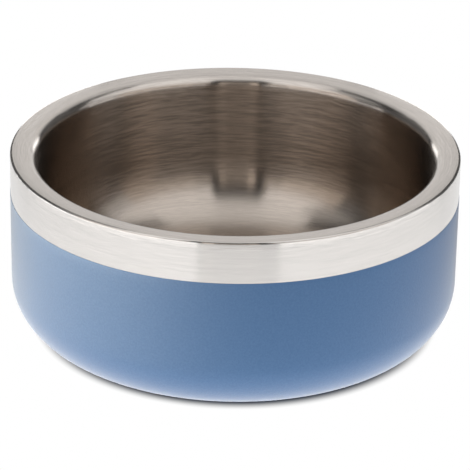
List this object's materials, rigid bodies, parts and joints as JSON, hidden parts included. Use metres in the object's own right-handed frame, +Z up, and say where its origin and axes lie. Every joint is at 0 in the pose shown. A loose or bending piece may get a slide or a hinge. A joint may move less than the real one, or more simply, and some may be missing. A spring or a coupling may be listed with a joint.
{
  "type": "dog bowl",
  "caption": "Low round double-walled steel feeding bowl with a broad brushed rim, a bare band, a blue powder-coated body and a rubber foot ring.",
  "frame": {"origin": "on the bowl's axis, at the level of the table that the foot ring stands on", "axes": "+Z up along the bowl's axis, through the open mouth; X and Y are alike because the bowl is round"},
  "size_m": [0.1702, 0.1702, 0.0722],
  "materials": {
    "liner_steel": "brushed in circles, satin",
    "shell_steel": "brushed in circles, satin",
    "plate_steel": "brushed in circles, satin",
    "blue_powder_coat": "baked powder coat with a fine pebbled texture",
    "foot_rubber": "matt moulded rubber"
  },
  "bodies": {
    "root": {"inner_bowl": "liner_steel", "outer_shell": "shell_steel", "base_plate": "plate_steel", "powder_coat": "blue_powder_coat", "non_slip_ring": "foot_rubber"}
  },
  "joints": []
}
